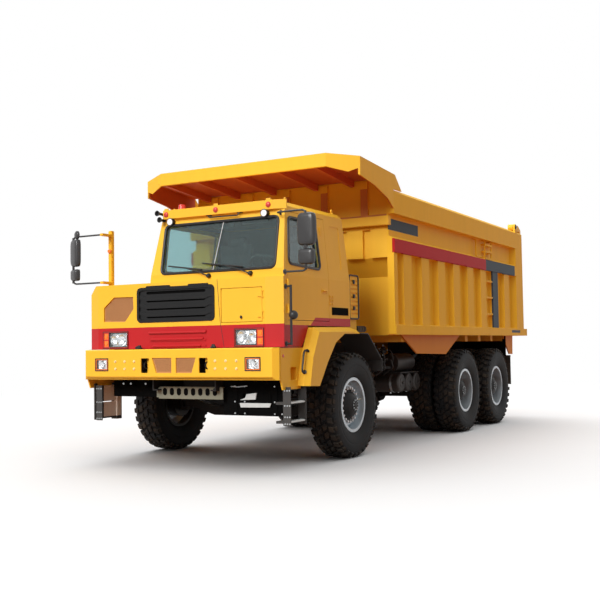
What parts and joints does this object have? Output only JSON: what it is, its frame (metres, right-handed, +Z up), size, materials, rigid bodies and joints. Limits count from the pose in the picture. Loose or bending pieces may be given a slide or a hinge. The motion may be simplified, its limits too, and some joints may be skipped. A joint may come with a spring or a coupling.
{
  "type": "mining dump truck",
  "caption": "Mining dump truck with an offset cab, a ribbed tipping body with canopy and tailgate, steered front wheels and telescopic hoists",
  "frame": {"origin": "on the ground, midway between the front of the bumper and the rear lip of the body, and midway between the sides", "axes": "+X to the truck's left, -Y to its front, +Z up"},
  "size_m": [3.74, 9.4, 3.9748],
  "materials": {
    "body_paint": "satin",
    "bed_paint": "satin",
    "chassis_paint": "satin",
    "wheel_paint": "satin",
    "tyre_rubber": "matt",
    "black_plastic": "matt",
    "flap_rubber": "matt",
    "steel": "brushed",
    "cast_metal": "rough",
    "window_glass": "clear",
    "lamp_glass": "clear",
    "orange_lens": "gloss",
    "red_lens": "gloss",
    "mesh_paint": "matt",
    "seat_fabric": "woven",
    "dash_plastic": "matt",
    "silver_paint": "satin"
  },
  "bodies": {
    "chassis": {"frame": "chassis_paint", "front_axle": "cast_metal", "suspension": "chassis_paint", "rear_axles": "cast_metal", "engine": "cast_metal", "driveline": "chassis_paint", "nose": "body_paint", "grille": "black_plastic", "lamp_housings": "black_plastic", "headlamps": "lamp_glass", "indicators": "orange_lens", "bumper": "body_paint", "bumper_lamps": "lamp_glass", "mesh_panels": "mesh_paint", "side_panels": "body_paint", "mudguards": "black_plastic", "mud_flaps": "flap_rubber", "step_ladders": "silver_paint", "grab_rail": "black_plastic", "fuel_tank": "silver_paint", "air_tanks": "silver_paint", "air_intake": "body_paint", "skid_plate": "silver_paint", "sun_visor": "body_paint", "roof_lamps": "lamp_glass", "mirrors_left": "black_plastic", "mirrors_right": "black_plastic", "dashboard": "dash_plastic", "seats": "seat_fabric", "tail_lamps": "red_lens", "cab_shell": "body_paint", "cab_glass": "window_glass"},
    "knuckle_left": {"knuckle_left": "cast_metal"},
    "knuckle_right": {"knuckle_right": "cast_metal"},
    "tie_rod": {"tie_rod": "steel"},
    "wheel_front_left": {"tyre_front_left": "tyre_rubber", "rim_front_left": "wheel_paint"},
    "wheel_front_right": {"tyre_front_right": "tyre_rubber", "rim_front_right": "wheel_paint"},
    "wheel_mid_left": {"tyre_mid_left": "tyre_rubber", "rim_mid_left": "wheel_paint"},
    "wheel_mid_right": {"tyre_mid_right": "tyre_rubber", "rim_mid_right": "wheel_paint"},
    "wheel_rear_left": {"tyre_rear_left": "tyre_rubber", "rim_rear_left": "wheel_paint"},
    "wheel_rear_right": {"tyre_rear_right": "tyre_rubber", "rim_rear_right": "wheel_paint"},
    "cab_door": {"cab_door": "body_paint", "door_glass": "window_glass"},
    "nose_hatch": {"nose_hatch": "body_paint"},
    "bed": {"bed_floor": "bed_paint", "bed_side_left": "bed_paint", "bed_side_right": "bed_paint", "bed_front": "bed_paint", "bed_canopy": "bed_paint"},
    "tailgate": {"tailgate": "bed_paint"},
    "hoist_barrels": {"hoist_barrels": "chassis_paint"},
    "hoist_stages": {"hoist_stages": "steel"},
    "hoist_rods": {"hoist_rods": "steel"}
  },
  "joints": [
    {"name": "steer_left", "type": "hinge", "parent": "chassis", "child": "knuckle_left", "pos_m": [1.1, -2.87, 0.685], "axis": [0, 0, 1], "range_deg": [-32, 32]},
    {"name": "steer_right", "type": "hinge", "parent": "chassis", "child": "knuckle_right", "pos_m": [-1.1, -2.87, 0.685], "axis": [0, 0, 1], "range_deg": [-32, 32]},
    {"name": "tie_rod_slide", "type": "slide", "parent": "chassis", "child": "tie_rod", "axis": [1, 0, 0], "range_m": [-0.135, 0.135]},
    {"name": "spin_front_left", "type": "hinge", "parent": "knuckle_left", "child": "wheel_front_left", "pos_m": [1.393, -2.87, 0.685], "axis": [1, 0, 0], "continuous": true},
    {"name": "spin_front_right", "type": "hinge", "parent": "knuckle_right", "child": "wheel_front_right", "pos_m": [-1.393, -2.87, 0.685], "axis": [1, 0, 0], "continuous": true},
    {"name": "spin_mid_left", "type": "hinge", "parent": "chassis", "child": "wheel_mid_left", "pos_m": [1.313, 1.13, 0.685], "axis": [1, 0, 0], "continuous": true},
    {"name": "spin_mid_right", "type": "hinge", "parent": "chassis", "child": "wheel_mid_right", "pos_m": [-1.313, 1.13, 0.685], "axis": [1, 0, 0], "continuous": true},
    {"name": "spin_rear_left", "type": "hinge", "parent": "chassis", "child": "wheel_rear_left", "pos_m": [1.313, 2.83, 0.685], "axis": [1, 0, 0], "continuous": true},
    {"name": "spin_rear_right", "type": "hinge", "parent": "chassis", "child": "wheel_rear_right", "pos_m": [-1.313, 2.83, 0.685], "axis": [1, 0, 0], "continuous": true},
    {"name": "door_hinge", "type": "hinge", "parent": "chassis", "child": "cab_door", "pos_m": [1.473, -4.436, 2.05], "axis": [0, 0, -1], "range_deg": [0, 70]},
    {"name": "hatch_hinge", "type": "hinge", "parent": "chassis", "child": "nose_hatch", "pos_m": [1.196, -4.579, 1.96], "axis": [0, 0, 1], "range_deg": [0, 95]},
    {"name": "bed_hinge", "type": "hinge", "parent": "chassis", "child": "bed", "pos_m": [0, 3.88, 1.35], "axis": [-1, 0, 0], "range_deg": [0, 45]},
    {"name": "gate_hinge", "type": "hinge", "parent": "bed", "child": "tailgate", "pos_m": [0, 4.08, 3.72], "axis": [1, 0, 0], "range_deg": [0, 60]},
    {"name": "barrel_swing", "type": "hinge", "parent": "chassis", "child": "hoist_barrels", "pos_m": [0, -0.5, 1], "axis": [1, 0, 0], "range_deg": [0, 28.5]},
    {"name": "stage_slide", "type": "slide", "parent": "hoist_barrels", "child": "hoist_stages", "axis": [0, 0.9569, 0.2904], "range_m": [0, 0.936]},
    {"name": "rod_slide", "type": "slide", "parent": "hoist_stages", "child": "hoist_rods", "axis": [0, 0.9569, 0.2904], "range_m": [0, 0.936]}
  ],
  "couplings": [
    {"joint": "steer_right", "follows": "steer_left", "ratio": 1},
    {"joint": "tie_rod_slide", "follows": "steer_left", "m_per_rad": -0.2372},
    {"joint": "barrel_swing", "follows": "bed_hinge", "ratio": 0.6302},
    {"joint": "stage_slide", "follows": "bed_hinge", "m_per_rad": 1.1906},
    {"joint": "rod_slide", "follows": "bed_hinge", "m_per_rad": 1.1906}
  ]
}
